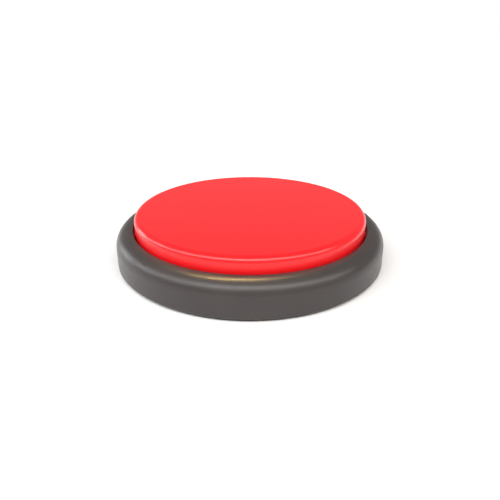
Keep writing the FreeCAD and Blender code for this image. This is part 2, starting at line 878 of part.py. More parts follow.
def other_end(shapes, y):
    """The same contact at the bay's left end."""
    for shape in shapes:
        shape.rotate(Vector(0, y, 0), UP, 180)
    return shapes


def positive_contact():
    half = contact_width / 2
    plate_and_tab = contact_plate(front_cell_y - half, front_cell_y + half).fuse(contact_tab(front_cell_y))
    return plate_and_tab.fuse(contact_dimple(front_cell_y)).removeSplitter()


def negative_contact():
    half = contact_width / 2
    plate_and_tab = contact_plate(rear_cell_y - half, rear_cell_y + half).fuse(contact_tab(rear_cell_y))
    return [plate_and_tab.removeSplitter(), contact_coil(rear_cell_y)]


def bridge_contact():
    """One plate across both cells at the left end, with a dimple for one and a spring for the other."""
    half = contact_width / 2
    strip = contact_plate(front_cell_y - half, rear_cell_y + half).fuse(contact_dimple(front_cell_y))
    return other_end([strip.removeSplitter(), contact_coil(rear_cell_y)], bay_centre_y)


# ---- Sounder ----
def at_sounder(shape):
    shape.translate(Vector(0, sounder_y, 0))
    return shape


def sounder_gasket():
    inner = sounder_radius - gasket_width
    return at_sounder(turned([
        (inner, cover_top_z, 0),
        (sounder_radius, cover_top_z, 0),
        (sounder_radius, gasket_top_z, 0),
        (inner, gasket_top_z, 0),
    ]))


def sounder_frame():
    """Pressed steel basket whose flange clamps the cone's rim on the gasket."""
    neck = sounder_radius - sounder_flange_width
    return at_sounder(turned([
        (neck - sounder_sheet, sounder_flange_z, 0),
        (sounder_radius, sounder_flange_z, 0),
        (sounder_radius, sounder_flange_top_z, 0),
        (neck, sounder_flange_top_z, basket_bend_radius),
        (sounder_back_radius, sounder_back_z, basket_bend_radius),
        (0, sounder_back_z, 0),
        (0, sounder_back_z - sounder_sheet, 0),
        (sounder_back_radius - sounder_sheet / 2, sounder_back_z - sounder_sheet, basket_inner_bend_radius),
    ]))


def sounder_magnet():
    return at_sounder(turned([
        (0, sounder_back_z, 0),
        (magnet_radius, sounder_back_z, magnet_foot_radius),
        (magnet_radius, sounder_back_z + magnet_height, magnet_edge_radius),
        (0, sounder_back_z + magnet_height, 0),
    ]))


def arc_edge(start, middle, end):
    """An arc in the XZ plane through three (radius, height) points."""
    return Part.Arc(*(Vector(r, 0, z) for r, z in (start, middle, end))).toShape()


def line_edge(start, end):
    return Part.LineSegment(Vector(start[0], 0, start[1]), Vector(end[0], 0, end[1])).toShape()


def sounder_cone():
    """Thin film cone: flat rim, rolled surround, cone and domed centre, open towards the grille."""
    low = gasket_top_z
    neck_z = low + cone_depth
    crown_z = neck_z - dust_dome_height
    dome_radius = (cone_neck_radius ** 2 + dust_dome_height ** 2) / (2 * dust_dome_height)
    half_way = math.asin(cone_neck_radius / dome_radius) / 2
    dome_middle = (dome_radius * math.sin(half_way), crown_z + dome_radius * (1 - math.cos(half_way)))
    surround_middle = ((surround_outer_radius + surround_inner_radius) / 2, low + surround_height)
    under = [
        line_edge((sounder_radius, low), (surround_outer_radius, low)),
        arc_edge((surround_outer_radius, low), surround_middle, (surround_inner_radius, low)),
        line_edge((surround_inner_radius, low), (cone_neck_radius, neck_z)),
        arc_edge((cone_neck_radius, neck_z), dome_middle, (0, crown_z)),
    ]
    upper = [edge.translated(Vector(0, 0, cone_sheet)) for edge in under]
    ends = [line_edge((sounder_radius, low), (sounder_radius, low + cone_sheet)),
            line_edge((0, crown_z), (0, crown_z + cone_sheet))]
    outline = Part.Wire(Part.__sortEdges__(under + upper + ends))
    return at_sounder(Part.Face(outline).revolve(Vector(), UP, 360))


def terminal_strip():
    """Small board on the sounder's back where its wires are soldered."""
    near = magnet_radius + strip_inner_gap
    half = strip_length / 2
    outline = rectangle(-half, half, near, near + strip_width, strip_corner_radius)
    return at_sounder(plate(outline, sounder_back_z, sounder_back_z + strip_thickness))


# ---- Wires ----
def sounder_wire(x):
    strip_y = sounder_y + magnet_radius + strip_inner_gap + strip_width - sounder_wire_inset
    start = Vector(x, strip_y, sounder_back_z + strip_thickness)
    end = Vector(x, -board_width / 2 + board_pad_inset, board_top_z)
    return bent_wire(arch(start, end, [], wire_rise), wire_radius)


def battery_wire(y, pad_y, rise):
    """Runs forward beside the bay from a contact's tab, then turns in to the board's right edge."""
    start = Vector(bay_inner_half_length + contact_tab_reach - battery_wire_inset, y,
                   cell_z + contact_tab_rise + contact_thickness)
    end = Vector(board_length / 2 - battery_pad_inset, pad_y, board_top_z)
    turn_in = Vector(start.x, pad_y + 2 * (start.x - end.x), 0)
    return bent_wire(arch(start, end, [turn_in], rise), wire_radius)


# ---- Everything, by node name ----
def all_pieces():
    pieces = {
        "upper_housing": upper_housing(),
        "bottom_cover": bottom_cover(),
        "battery_door": battery_door(),
        "button_cap": button_cap(),
        "switch_body": switch_body(),
        "switch_plunger": switch_plunger(),
        "switch_spring": switch_spring(),
        "switch_terminals": switch_terminals(),
        "circuit_board": circuit_board(),
        "sound_chip": sound_chip(),
        "chip_legs": chip_legs_side(-1) + chip_legs_side(1),
        "capacitor": capacitor(),
        "resistors": resistors(),
        "front_cell": cell(front_cell_y),
        "rear_cell": other_end([cell(rear_cell_y)], rear_cell_y),
        "positive_contact": positive_contact(),
        "negative_contact": negative_contact(),
        "bridge_contact": bridge_contact(),
        "sounder_gasket": sounder_gasket(),
        "sounder_frame": sounder_frame(),
        "sounder_magnet": sounder_magnet(),
        "sounder_cone": sounder_cone(),
        "terminal_strip": terminal_strip(),
        "sounder_wire_red": sounder_wire(sounder_wire_x),
        "sounder_wire_black": sounder_wire(-sounder_wire_x),
        "battery_wire_red": battery_wire(front_cell_y, battery_pad_y, battery_wire_rise),
        "battery_wire_black": battery_wire(rear_cell_y, battery_pad_y - battery_pad_spacing,
                                           battery_wire_rise + battery_wire_lift),
        "housing_screws": [set_screw(screw_head_radius, housing_screw_reach, x, y,
                                     cover_low_z + counterbore_depth, False) for x, y in boss_places()],
        "board_screws": [set_screw(screw_head_radius, board_screw_reach, x, y, board_top_z, True)
                         for x, y in standoff_places()],
        "sounder_screws": [set_screw(washer_head_radius, sounder_screw_reach, x, y,
                                     sounder_flange_top_z, True) for x, y in sounder_screw_places()],
    }
    for name, (x, y) in guide_places().items():
        pieces["return_spring_" + name] = return_spring(x, y)
    for name, (x, y) in zip(("right", "rear", "left", "front"), foot_places()):
        pieces["foot_" + name] = foot(x, y)
    return pieces


def main():
    os.makedirs("parts", exist_ok=True)
    for name, shape in all_pieces().items():
        solids = shape if isinstance(shape, list) else [shape]
        Part.makeCompound(solids).exportStep("parts/" + name + ".step")


main()
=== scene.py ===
"""Quiz buzzer: shells, springs, contacts, materials, floor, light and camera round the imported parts."""

import math

import bmesh
import bpy
from mathutils import Matrix, Vector


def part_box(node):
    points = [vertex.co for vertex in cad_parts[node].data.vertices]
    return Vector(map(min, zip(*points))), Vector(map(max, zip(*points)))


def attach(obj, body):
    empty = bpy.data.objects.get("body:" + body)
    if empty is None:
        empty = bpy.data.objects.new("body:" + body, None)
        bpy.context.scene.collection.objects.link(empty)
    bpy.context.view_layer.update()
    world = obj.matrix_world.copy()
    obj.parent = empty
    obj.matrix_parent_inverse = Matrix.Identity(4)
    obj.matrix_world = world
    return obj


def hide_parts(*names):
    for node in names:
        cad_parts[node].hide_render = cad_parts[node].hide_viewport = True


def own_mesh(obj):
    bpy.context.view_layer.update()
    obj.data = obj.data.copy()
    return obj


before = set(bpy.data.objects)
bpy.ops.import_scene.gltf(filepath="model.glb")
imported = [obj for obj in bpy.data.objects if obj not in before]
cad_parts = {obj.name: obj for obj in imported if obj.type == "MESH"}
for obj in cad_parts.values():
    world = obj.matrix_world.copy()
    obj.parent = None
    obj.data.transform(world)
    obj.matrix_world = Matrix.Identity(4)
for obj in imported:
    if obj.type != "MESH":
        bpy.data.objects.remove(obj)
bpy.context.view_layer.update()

bl_info = {
    "name": "Quiz buzzer",
    "version": (1, 0, 0),
    "blender": (4, 5, 0),
    "location": "3D View > Sidebar > Buzzer",
    "description": "Builds the looks of a round push buzzer round its packed parts",
    "category": "Object",
}

MM = 0.001

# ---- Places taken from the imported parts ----
RING_LOW, RING_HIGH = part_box("upper_housing")
CAP_LOW, CAP_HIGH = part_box("button_cap")
SPRING_NODES = [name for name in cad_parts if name.startswith("return_spring_")]
SPRING_BOXES = [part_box(name) for name in SPRING_NODES]
SWITCH_SPRING_LOW, SWITCH_SPRING_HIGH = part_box("switch_spring")
PLUNGER_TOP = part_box("switch_plunger")[1].z
FRONT_CELL_LOW, FRONT_CELL_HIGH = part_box("front_cell")
REAR_CELL_LOW, REAR_CELL_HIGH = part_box("rear_cell")
NEGATIVE_TAB_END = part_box("negative_contact")[1].x
PLATE_BACK = -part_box("bridge_contact")[0].x
SOUNDER_LOW, SOUNDER_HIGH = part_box("sounder_frame")


# ---- Sizes and colours that a user would change ----
def length(name, description, millimetres):
    return bpy.props.FloatProperty(name=name, description=description, default=millimetres * MM,
                                   min=0.0, unit="LENGTH")


def colour(name, description, red, green, blue):
    return bpy.props.FloatVectorProperty(name=name, description=description, subtype="COLOR",
                                         size=3, min=0.0, max=1.0, default=(red, green, blue))


def angle(name, description, degrees):
    return bpy.props.FloatProperty(name=name, description=description, subtype="ANGLE",
                                   default=math.radians(degrees))


def plain_number(name, description, value):
    return bpy.props.FloatProperty(name=name, description=description, default=value)


def count(name, description, value):
    return bpy.props.IntProperty(name=name, description=description, default=value, min=1)


class BuzzerBaseSettings(bpy.types.PropertyGroup):
    shoulder: length("Shoulder", "Radius of the big rounded shoulder", 6.5)
    wall: length("Wall", "Thickness of the base ring", 2.2)
    rim: length("Rim", "Width from the outside to the button's side", 8.4)
    gap: length("Gap", "Gap round the button", 0.6)
    lip: length("Lip", "Rounding of the opening's edge", 0.6)
    lower_edge: length("Lower edge", "Rounding at the bottom of the side", 0.5)
    rebate: length("Rebate", "Wall left round the bottom cover", 1.0)
    cover_top: length("Cover top", "Height of the bottom cover's inner face", 3.7)
    boss_inset: length("Boss inset", "From the outside to a screw boss's centre", 4.6)
    boss_radius: length("Boss radius", "Radius of a screw boss", 2.7)
    boss_bore: length("Boss bore", "Radius of a screw boss's bore", 0.9)
    boss_height: length("Boss height", "Height of a screw boss", 10.6)
    boss_count: count("Bosses", "How many screw bosses", 4)
    segments: count("Segments", "Divisions round the ring", 288)
    plastic: colour("Plastic", "Dark grey moulded plastic", 0.040, 0.034, 0.033)


class BuzzerButtonSettings(bpy.types.PropertyGroup):
    edge: length("Edge", "Rounding of the button's top edge", 2.7)
    wall: length("Wall", "Thickness of the button's side", 2.2)
    roof: length("Roof", "Thickness of the button's top", 2.4)
    skirt_z: length("Skirt height", "Height of the skirt's lower edge at rest", 11.35)
    lug_height: length("Lug height", "Height of a retaining lug", 2.2)
    lug_reach: length("Lug reach", "How far a lug stands out from the side", 2.1)
    lug_half_angle: angle("Lug half angle", "Half the angle that a lug covers", 12.0)
    lug_count: count("Lugs", "How many retaining lugs", 4)
    rib_width: length("Rib width", "Thickness of a stiffening rib", 1.2)
    rib_depth: length("Rib depth", "Depth of a stiffening rib", 1.2)
    rib_start: length("Rib start", "Radius where the ribs start", 9.0)
    rib_count: count("Ribs", "How many stiffening ribs", 8)
    post_radius: length("Post", "Radius of a guide post", 2.0)
    post_step: length("Post step", "How far a post's shoulder stands out from it", 0.5)
    post_shoulder: length("Post shoulder", "Height of a post's shoulder", 2.5)
    pad_radius: length("Pad", "Radius of the pad that pushes the switch", 4.0)
    pad_gap: length("Pad gap", "Gap between the pad and the switch at rest", 0.05)
    segments: count("Segments", "Divisions round the button", 288)
    plastic: colour("Plastic", "Red moulded plastic", 0.94, 0.010, 0.014)


class BuzzerSpringSettings(bpy.types.PropertyGroup):
    radius: length("Radius", "Mean radius of a return spring", 2.9)
    wire: length("Wire", "Radius of a return spring's wire", 0.3)
    turns: plain_number("Turns", "Turns of a return spring", 6.5)
    switch_radius: length("Switch spring radius", "Mean radius of the switch's spring", 2.0)
    switch_wire: length("Switch spring wire", "Radius of the switch spring's wire", 0.13)
    switch_turns: plain_number("Switch spring turns", "Turns of the switch's spring", 4.0)
    steel: colour("Steel", "Bright spring wire", 0.56, 0.55, 0.54)


class BuzzerContactSettings(bpy.types.PropertyGroup):
    thickness: length("Thickness", "Thickness of a contact plate", 0.4)
    wire: length("Wire", "Radius of the contact coil's wire", 0.25)
    wide: length("Wide end", "Radius of the contact coil at its plate", 3.4)
    narrow: length("Narrow end", "Radius of the contact coil at the cell", 2.0)
    turns: plain_number("Turns", "Turns of the contact coil", 3.5)
    plate_width: length("Plate width", "Width of a contact plate", 9.0)
    plate_height: length("Plate height", "Height of a contact plate", 8.0)
    dimple: length("Dimple", "Radius of the raised spot that touches a cell", 2.0)
    tab_width: length("Tab width", "Width of the tab that a wire is soldered to", 1.8)
    tab_rise: length("Tab rise", "Height of the tab above the cell's axis", 1.7)
    nickel: colour("Nickel", "Plated contact metal", 0.66, 0.63, 0.58)


class BuzzerFinishSettings(bpy.types.PropertyGroup):
    rubber: colour("Feet", "Rubber of the feet", 0.028, 0.028, 0.03)
    screws: colour("Screws", "Plating of every screw", 0.5, 0.5, 0.52)
    cell_film: colour("Cells", "Film on the two cells", 0.075, 0.17, 0.3)
    switch: colour("Switch", "Body of the switch", 0.035, 0.035, 0.04)
    plunger: colour("Plunger", "Plunger of the switch", 0.72, 0.7, 0.66)
    chip: colour("Chip", "Epoxy of the sound chip", 0.014, 0.014, 0.016)
    resistors: colour("Resistors", "Bodies of the resistors", 0.02, 0.02, 0.022)
    capacitor: colour("Capacitor", "Film on the capacitor", 0.02, 0.03, 0.085)
    basket: colour("Sounder frame", "Pressed steel of the sounder", 0.4, 0.4, 0.41)
    magnet: colour("Magnet", "Can of the sounder's magnet", 0.28, 0.28, 0.29)
    red_wire: colour("Red wires", "Red insulation", 0.55, 0.018, 0.016)
    black_wire: colour("Black wires", "Black insulation", 0.018, 0.018, 0.019)


class BuzzerStageSettings(bpy.types.PropertyGroup):
    distance: length("Camera distance", "From the camera to the point it looks at", 238.6)
    elevation: angle("Camera elevation", "Angle of the camera above the table", 24.85)
    aim_height: length("Aim height", "Height above the table that the camera looks at", 1.5)
    lens: bpy.props.FloatProperty(name="Lens", description="Focal length for a 36 mm wide sensor",
                                  unit="CAMERA", default=36.66)
    floor_radius: length("Floor radius", "Radius of the round floor", 3000.0)
    floor: colour("Floor", "Pale floor", 0.96, 0.96, 0.96)
    ambient: colour("Ambient", "Light from the room all round", 0.32, 0.315, 0.315)
    arch_distance: length("Arch distance", "From the object to the arch of soft boxes", 30000.0)
    arch_left: angle("Arch left", "Azimuth of the left end from the front", -120.0)
    arch_right: angle("Arch right", "Azimuth of the right end from the front", 76.0)
    arch_height: angle("Arch height", "Elevation of the arch at the front", 54.0)
    arch_droop: plain_number("Arch droop", "How fast the arch comes down towards its ends", 0.68)
    arch_count: count("Arch boxes", "How many soft boxes make the arch", 9)
    arch_box: length("Arch box", "Width of one soft box", 11250.0)
    arch_shape: plain_number("Arch box shape", "Height of a soft box as a share of its width", 0.95)
    arch_radiance: plain_number("Arch radiance", "Strength of the middle soft box", 5.3)
    arch_falloff: plain_number("Arch falloff", "Share that the arch's ends are weaker by", 0.25)
    arch_cool: colour("Arch cool", "Colour of the left soft box", 0.93, 0.97, 1.0)
    arch_warm: colour("Arch warm", "Colour of the right soft box", 1.0, 0.94, 0.88)
    strip_azimuth: angle("Strip azimuth", "Azimuth of the warm strip from the front", 200.0)
    strip_elevation: angle("Strip elevation", "Elevation of the warm strip", 72.0)
    strip_distance: length("Strip distance", "From the object to the warm strip", 600.0)
    strip_length: length("Strip length", "Length of the warm strip", 260.0)
    strip_width: length("Strip width", "Width of the warm strip", 30.0)
    strip_radiance: plain_number("Strip radiance", "Strength of the warm strip", 138.0)
    strip_tint: colour("Strip tint", "Colour of the warm strip", 1.0, 0.66, 0.27)


SETTINGS = {
    "buzzer_base": BuzzerBaseSettings,
    "buzzer_button": BuzzerButtonSettings,
    "buzzer_springs": BuzzerSpringSettings,
    "buzzer_contacts": BuzzerContactSettings,
    "buzzer_finishes": BuzzerFinishSettings,
    "buzzer_stage": BuzzerStageSettings,
}


# ---- Outlines and plain meshes ----
ARC_STEPS = 14
SUPPORT = 0.18 * MM      # from a rounding's end to the next point, which keeps the flats flat
CRISP_EDGE = 0.15 * MM
MOULDED_EDGE = 0.3 * MM
PLATE_EDGE = 0.1 * MM
MERGE_DISTANCE = 1e-7
SHARP_ANGLE = math.radians(35)
QUARTER_TURN = math.pi / 2
SMALL_ROUND = 48         # divisions round a small turned piece
FLOOR_ROUND = 128
LUG_STEPS = 16


def rounded(corners, closed):
    """Points along an outline of (radius, height, rounding) corners, with an arc for each rounding."""
    points = []
    for i, (u, v, rounding) in enumerate(corners):
        here = Vector((u, v))
        if not rounding or (not closed and i in (0, len(corners) - 1)):
            points.append(here)
            continue
        back = (Vector(corners[i - 1][:2]) - here).normalized()
        on = (Vector(corners[(i + 1) % len(corners)][:2]) - here).normalized()
        half = back.angle(on) / 2
        reach = rounding / math.tan(half)
        centre = here + (back + on).normalized() * (rounding / math.sin(half))
        start, end = here + back * reach - centre, here + on * reach - centre
        turn = start.angle_signed(end)
        points.append(centre + start + back * SUPPORT)
        for step in range(ARC_STEPS + 1):
            points.append(centre + Matrix.Rotation(-turn * step / ARC_STEPS, 2) @ start)
        points.append(centre + end + on * SUPPORT)
    return points


def new_object(name, vertices, faces=()):
    mesh = bpy.data.meshes.new(name)
    mesh.from_pydata(vertices, [], faces)
    obj = bpy.data.objects.new(name, mesh)
    bpy.context.scene.collection.objects.link(obj)
    return obj


def face_out(obj):
    """Closes an object's seams, turns its faces outwards and smooths all but its sharp edges."""
    work = bmesh.new()
    work.from_mesh(obj.data)
    bmesh.ops.remove_doubles(work, verts=work.verts, dist=MERGE_DISTANCE)
    bmesh.ops.recalc_face_normals(work, faces=work.faces)
    work.to_mesh(obj.data)
    work.free()
    obj.data.shade_smooth()
    obj.data.set_sharp_from_angle(angle=SHARP_ANGLE)


def sector(inner, outer, low, high, half_angle, steps):
    """Vertices and faces of a block that is part of a ring, centred on the X axis."""
    vertices, faces = [], []
    for k in range(steps + 1):
        turn = half_angle * (2 * k / steps - 1)
        for r, z in ((inner, low), (outer, low), (outer, high), (inner, high)):
            vertices.append((r * math.cos(turn), r * math.sin(turn), z))
    for k in range(steps):
        a, b = 4 * k, 4 * k + 4
        faces += [(a + i, b + i, b + (i + 1) % 4, a + (i + 1) % 4) for i in range(4)]
    last = 4 * steps
    faces += [(3, 2, 1, 0), (last, last + 1, last + 2, last + 3)]
    return vertices, faces


def block(low, high):
    """Vertices and faces of a box between two corners."""
    vertices = [(x, y, z) for z in (low[2], high[2]) for y in (low[1], high[1])
                for x in (low[0], high[0])]
    faces = [(0, 2, 3, 1), (4, 5, 7, 6), (0, 1, 5, 4), (2, 6, 7, 3), (0, 4, 6, 2), (1, 3, 7, 5)]
    return vertices, faces


def together(*shapes):
    """Several vertex and face lists as one."""
    vertices, faces = [], []
    for more_vertices, more_faces in shapes:
        offset = len(vertices)
        vertices += more_vertices
        faces += [[offset + i for i in face] for face in more_faces]
    return vertices, faces


def soft_edged(name, shape, width):
    """A new object from vertices and faces, with its sharp edges bevelled."""
    obj = new_object(name, *shape)
    face_out(obj)
    bevel = obj.modifiers.new("soft edges", "BEVEL")
    bevel.width = width
    bevel.segments = 2
    bevel.limit_method = "ANGLE"
    keep_result(obj)
    return obj


def keep_result(obj):
    """Turns what an object's modifiers make into its plain mesh."""
    bpy.context.view_layer.update()
    evaluated = obj.evaluated_get(bpy.context.evaluated_depsgraph_get())
    mesh = bpy.data.meshes.new_from_object(evaluated)
    obj.modifiers.clear()
    old = obj.data
    obj.data = mesh
    bpy.data.meshes.remove(old)


# ---- Node trees for what turns about an axis or repeats ----
STEPS_PER_TURN = 28
WIRE_SIDES = 10
CLOSED_TURN = 0.9


def add_node(tree, kind, fed, **settings):
    """A new node; each input in fed gets a plain value or another node's output."""
    node = tree.nodes.new(kind)
    for setting, value in settings.items():
        setattr(node, setting, value)
    for label, value in fed.items():
        if hasattr(value, "links"):
            tree.links.new(value, node.inputs[label])
        else:
            node.inputs[label].default_value = value
    return node


def new_tree(name, numbers):
    """A geometry tree with a geometry input, named number inputs and a material input."""
    tree = bpy.data.node_groups.new(name, "GeometryNodeTree")
    tree.interface.new_socket("Geometry", in_out="INPUT", socket_type="NodeSocketGeometry")
    for label, kind in numbers:
        tree.interface.new_socket(label, in_out="INPUT", socket_type=kind)
    tree.interface.new_socket("Material", in_out="INPUT", socket_type="NodeSocketMaterial")
    tree.interface.new_socket("Geometry", in_out="OUTPUT", socket_type="NodeSocketGeometry")
    return tree, tree.nodes.new("NodeGroupInput").outputs


def finish_tree(tree, given, geometry):
    """Ends a tree by realizing its instances and giving them their material."""
    real = add_node(tree, "GeometryNodeRealizeInstances", {"Geometry": geometry})
    smooth = add_node(tree, "GeometryNodeSetShadeSmooth", {"Geometry": real.outputs["Geometry"]})
    paint = add_node(tree, "GeometryNodeSetMaterial", {
        "Geometry": smooth.outputs["Geometry"], "Material": given["Material"],
    })
    add_node(tree, "NodeGroupOutput", {"Geometry": paint.outputs["Geometry"]})
    return tree


def math_node(tree, operation, first, second=0.0):
    return add_node(tree, "ShaderNodeMath", {0: first, 1: second}, operation=operation).outputs[0]


def span(tree, value, from_low, from_high, to_high):
    """A number that climbs from 0 to to_high while value climbs between two limits."""
    return add_node(tree, "ShaderNodeMapRange", {
        "Value": value, "From Min": from_low, "From Max": from_high, "To Max": to_high,
    }, clamp=True).outputs["Result"]


def moved_to(tree, geometry, x, y, z):
    """Geometry with its points moved to other coordinates."""
    place = add_node(tree, "ShaderNodeCombineXYZ", {"X": x, "Y": y, "Z": z})
    return add_node(tree, "GeometryNodeSetPosition", {
        "Geometry": geometry, "Position": place.outputs["Vector"],
    }).outputs["Geometry"]


def turned_tree():
    """Turns the input's points, radius along X and height along Z, about the upright axis."""
    tree, given = new_tree("turned_outline", [
        ("Segments", "NodeSocketInt"), ("Closed", "NodeSocketInt"),
    ])
    size = add_node(tree, "GeometryNodeAttributeDomainSize", {"Geometry": given["Geometry"]})
    corners = size.outputs["Point Count"]
    across = math_node(tree, "ADD", given["Segments"], 1.0)
    rows = math_node(tree, "ADD", corners, given["Closed"])
    grid = add_node(tree, "GeometryNodeMeshGrid", {"Vertices X": rows, "Vertices Y": across})

    index = tree.nodes.new("GeometryNodeInputIndex").outputs[0]
    row = math_node(tree, "FLOOR", math_node(tree, "DIVIDE", index, across))
    column = math_node(tree, "SUBTRACT", index, math_node(tree, "MULTIPLY", row, across))
    corner = add_node(tree, "GeometryNodeSampleIndex", {
        "Geometry": given["Geometry"],
        "Value": tree.nodes.new("GeometryNodeInputPosition").outputs[0],
        "Index": math_node(tree, "MODULO", row, corners),
    }, data_type="FLOAT_VECTOR")
    split = add_node(tree, "ShaderNodeSeparateXYZ", {0: corner.outputs["Value"]})

    one_step = math_node(tree, "DIVIDE", 2 * math.pi, given["Segments"])
    segment = math_node(tree, "MODULO", column, given["Segments"])
    turn = math_node(tree, "MULTIPLY", segment, one_step)
    x, y = (math_node(tree, "MULTIPLY", split.outputs["X"], math_node(tree, share, turn))
            for share in ("COSINE", "SINE"))
    return finish_tree(tree, given, moved_to(tree, grid.outputs["Mesh"], x, y, split.outputs["Z"]))


def coil_tree():
    """Puts a coil spring on each point of the input; its end turns lie closed."""
    tree, given = new_tree("coil_springs", [
        ("Start radius", "NodeSocketFloat"), ("End radius", "NodeSocketFloat"),
        ("Height", "NodeSocketFloat"), ("Turns", "NodeSocketFloat"), ("Wire radius", "NodeSocketFloat"),
    ])
    spiral = add_node(tree, "GeometryNodeCurveSpiral", {
        "Resolution": STEPS_PER_TURN, "Height": 1.0, "Rotations": given["Turns"],
        "Start Radius": given["Start radius"], "End Radius": given["End radius"],
    })
    place = tree.nodes.new("GeometryNodeInputPosition").outputs[0]
    split = add_node(tree, "ShaderNodeSeparateXYZ", {0: place}).outputs
    wire = given["Wire radius"]
    thickness = math_node(tree, "MULTIPLY", wire, 2.0)
    end_share = math_node(tree, "DIVIDE", CLOSED_TURN, given["Turns"])
    far_share = math_node(tree, "SUBTRACT", 1.0, end_share)
    # Each closed end climbs one wire thickness, and the wire's own thickness is the third.
    ends = math_node(tree, "MULTIPLY", thickness, 3.0)
    clear = math_node(tree, "SUBTRACT", given["Height"], ends)
    first = span(tree, split["Z"], 0.0, end_share, thickness)
    middle = span(tree, split["Z"], end_share, far_share, clear)
    last = span(tree, split["Z"], far_share, 1.0, thickness)
    height = math_node(tree, "ADD", math_node(tree, "ADD", first, middle),
                       math_node(tree, "ADD", last, wire))
    path = moved_to(tree, spiral.outputs["Curve"], split["X"], split["Y"], height)
    section = add_node(tree, "GeometryNodeCurvePrimitiveCircle", {
        "Resolution": WIRE_SIDES, "Radius": wire,
    })
    tube = add_node(tree, "GeometryNodeCurveToMesh", {
        "Curve": path, "Profile Curve": section.outputs["Curve"], "Fill Caps": True,
    })
    copies = add_node(tree, "GeometryNodeInstanceOnPoints", {
        "Points": given["Geometry"], "Instance": tube.outputs["Mesh"],
    })
    return finish_tree(tree, given, copies.outputs["Instances"])


def round_copies_tree():
    """Repeats the input evenly round the upright axis."""
    tree, given = new_tree("copies_round_axis", [
        ("Copies", "NodeSocketInt"), ("First angle", "NodeSocketFloat"),
    ])
    line = add_node(tree, "GeometryNodeMeshLine", {"Offset": (0, 0, 0), "Count": given["Copies"]})
    index = tree.nodes.new("GeometryNodeInputIndex").outputs[0]
    step = math_node(tree, "DIVIDE", 2 * math.pi, given["Copies"])
    turn = math_node(tree, "ADD", math_node(tree, "MULTIPLY", index, step), given["First angle"])
    euler = add_node(tree, "ShaderNodeCombineXYZ", {"Z": turn})
    rotation = add_node(tree, "FunctionNodeEulerToRotation", {"Euler": euler.outputs["Vector"]})
    copies = add_node(tree, "GeometryNodeInstanceOnPoints", {
        "Points": line.outputs["Mesh"], "Instance": given["Geometry"],
        "Rotation": rotation.outputs["Rotation"],
    })
    return finish_tree(tree, given, copies.outputs["Instances"])


def corner_copies_tree():
    """Repeats the input at the four corners of a rectangle about the upright axis."""
    tree, given = new_tree("copies_at_corners", [
        ("Across", "NodeSocketFloat"), ("Along", "NodeSocketFloat"),
    ])
    corners = add_node(tree, "GeometryNodeMeshGrid", {
        "Vertices X": 2, "Vertices Y": 2, "Size X": given["Across"], "Size Y": given["Along"],
    })
    copies = add_node(tree, "GeometryNodeInstanceOnPoints", {
        "Points": corners.outputs["Mesh"], "Instance": given["Geometry"],
    })
    return finish_tree(tree, given, copies.outputs["Instances"])


def apply_tree(obj, tree, values):
    """Runs a tree on an object and keeps the result as its plain mesh, with no empty material slot."""
    modifier = obj.modifiers.new(tree.name, "NODES")
    modifier.node_group = tree
    for item in tree.interface.items_tree:
        if item.in_out == "INPUT" and item.name in values:
            modifier[item.identifier] = values[item.name]
    keep_result(obj)
    paint_over(obj, values["Material"])
    obj.data.set_sharp_from_angle(angle=SHARP_ANGLE)


def turned(name, corners, closed, segments, material):
    """A new object turned from an outline of (radius, height, rounding) corners."""
    obj = new_object(name, [(p.x, 0.0, p.y) for p in rounded(corners, closed)])
    apply_tree(obj, turned_tree(), {"Segments": segments, "Closed": int(closed), "Material": material})
    face_out(obj)
    return obj


def coil(name, seat, radii, height, turns, wire, material):
    """A new coil spring that stands on the upright axis at height seat; radii are its two ends'."""
    obj = new_object(name, [(0.0, 0.0, seat)])
    apply_tree(obj, coil_tree(), {
        "Start radius": radii[0], "End radius": radii[1], "Height": height, "Turns": turns,
        "Wire radius": wire, "Material": material,
    })
    return obj


def repeated_round(obj, copies, first_angle, material):
    apply_tree(obj, round_copies_tree(), {
        "Copies": copies, "First angle": first_angle, "Material": material,
    })


def repeated_at_guides(obj, material):
    """Repeats a piece at the button's four guides, which are where the return springs are."""
    centres = [(low + high) / 2 for low, high in SPRING_BOXES]
    apply_tree(obj, corner_copies_tree(), {
        "Across": 2 * max(centre.x for centre in centres),
        "Along": 2 * max(centre.y for centre in centres),
        "Material": material,
    })


# ---- Materials ----
NOISE_MIDDLE = (0.3, 0.7)    # the range that most of a noise pattern lies in


